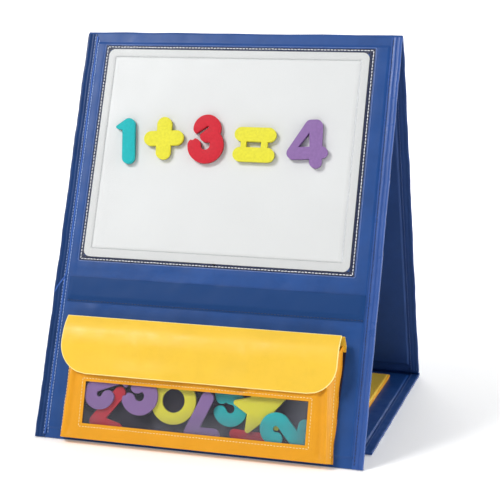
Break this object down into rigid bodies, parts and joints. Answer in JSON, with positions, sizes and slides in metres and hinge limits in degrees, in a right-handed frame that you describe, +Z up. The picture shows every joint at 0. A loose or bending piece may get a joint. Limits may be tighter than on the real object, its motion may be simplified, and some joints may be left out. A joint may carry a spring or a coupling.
{
  "type": "tabletop pocket chart",
  "caption": "Folding tabletop stand with a magnetic writing board, foam numerals, a flapped storage pocket with a clear window, and clear card pockets.",
  "frame": {"origin": "middle of the footprint, on the surface the chart stands on", "axes": "+X to the viewer's right, the writing board faces -Y and leans back, +Z up"},
  "size_m": [0.3254, 0.3227, 0.3844],
  "materials": {
    "blue_vinyl": "grained satin vinyl",
    "dark_blue_vinyl": "grained satin vinyl",
    "edge_binding": "woven coated tape",
    "greyboard": "raw pressed board",
    "steel": "thin zinc-coated sheet",
    "white_board": "wipe-clean",
    "clear_vinyl": "clear and flexible",
    "yellow_vinyl": "grained satin vinyl",
    "hook_and_loop": "hooks and loops",
    "teal_foam": "fine closed-cell foam",
    "yellow_foam": "fine closed-cell foam",
    "red_foam": "fine closed-cell foam",
    "purple_foam": "fine closed-cell foam",
    "magnet_sheet": "matt flexible magnet"
  },
  "bodies": {
    "front": {"front_cover": "blue_vinyl", "front_board": "greyboard", "front_lining": "dark_blue_vinyl", "front_bindings": "edge_binding", "steel_sheet": "steel", "white_board_sheet": "white_board", "clear_overlay": "clear_vinyl", "card_strip": "clear_vinyl", "closure_loop_tape": "hook_and_loop", "pocket_face": "yellow_vinyl", "pocket_window": "clear_vinyl", "pocket_backing": "dark_blue_vinyl", "pocket_floor": "yellow_vinyl", "pocket_gussets": "yellow_vinyl", "pocket_flap_root": "yellow_vinyl", "pocket_loop_patches": "hook_and_loop", "loose_purple_figures": "purple_foam", "loose_red_figures": "red_foam", "loose_yellow_figures": "yellow_foam", "loose_teal_figures": "teal_foam", "top_spine": "blue_vinyl"},
    "flap": {"pocket_flap": "yellow_vinyl", "flap_hook_patches": "hook_and_loop"},
    "one": {"one_foam": "teal_foam", "one_magnet": "magnet_sheet"},
    "plus": {"plus_foam": "yellow_foam", "plus_magnet": "magnet_sheet"},
    "three": {"three_foam": "red_foam", "three_magnet": "magnet_sheet"},
    "equals": {"equals_foam": "yellow_foam", "equals_magnet": "magnet_sheet"},
    "four": {"four_foam": "purple_foam", "four_magnet": "magnet_sheet"},
    "back": {"spine_lining": "dark_blue_vinyl", "back_cover": "blue_vinyl", "back_board": "greyboard", "back_lining": "dark_blue_vinyl", "back_bindings": "edge_binding", "back_card_pocket_1": "clear_vinyl", "back_card_pocket_2": "clear_vinyl", "back_card_pocket_3": "clear_vinyl", "back_card_pocket_4": "clear_vinyl", "rear_hinge": "edge_binding"},
    "base": {"base_cover": "blue_vinyl", "base_board": "greyboard", "base_underside": "dark_blue_vinyl", "base_bindings": "edge_binding", "base_pocket_backing": "yellow_vinyl", "base_pocket_face": "yellow_vinyl", "base_pocket_gussets": "yellow_vinyl", "closure_strip": "blue_vinyl", "closure_hook_tape": "hook_and_loop"}
  },
  "joints": [
    {"name": "top_fold", "type": "hinge", "parent": "front", "child": "back", "pos_m": [0, 0, 0.3808], "axis": [-1, 0, 0], "range_deg": [0, 42.5]},
    {"name": "base_fold", "type": "hinge", "parent": "back", "child": "base", "pos_m": [0, 0.15435, 0.002], "axis": [1, 0, 0], "range_deg": [0, 290.6]},
    {"name": "flap_hinge", "type": "hinge", "parent": "front", "child": "flap", "pos_m": [0, -0.12493, 0.11614], "axis": [-1, 0, 0], "range_deg": [0, 165]},
    {"name": "one_pull", "type": "slide", "parent": "front", "child": "one", "axis": [0, -0.9283, 0.3717], "range_m": [0, 0.04]},
    {"name": "plus_pull", "type": "slide", "parent": "front", "child": "plus", "axis": [0, -0.9283, 0.3717], "range_m": [0, 0.04]},
    {"name": "three_pull", "type": "slide", "parent": "front", "child": "three", "axis": [0, -0.9283, 0.3717], "range_m": [0, 0.04]},
    {"name": "equals_pull", "type": "slide", "parent": "front", "child": "equals", "axis": [0, -0.9283, 0.3717], "range_m": [0, 0.04]},
    {"name": "four_pull", "type": "slide", "parent": "front", "child": "four", "axis": [0, -0.9283, 0.3717], "range_m": [0, 0.04]}
  ],
  "couplings": [
    {"joint": "base_fold", "follows": "top_fold", "ratio": 6.8356}
  ]
}
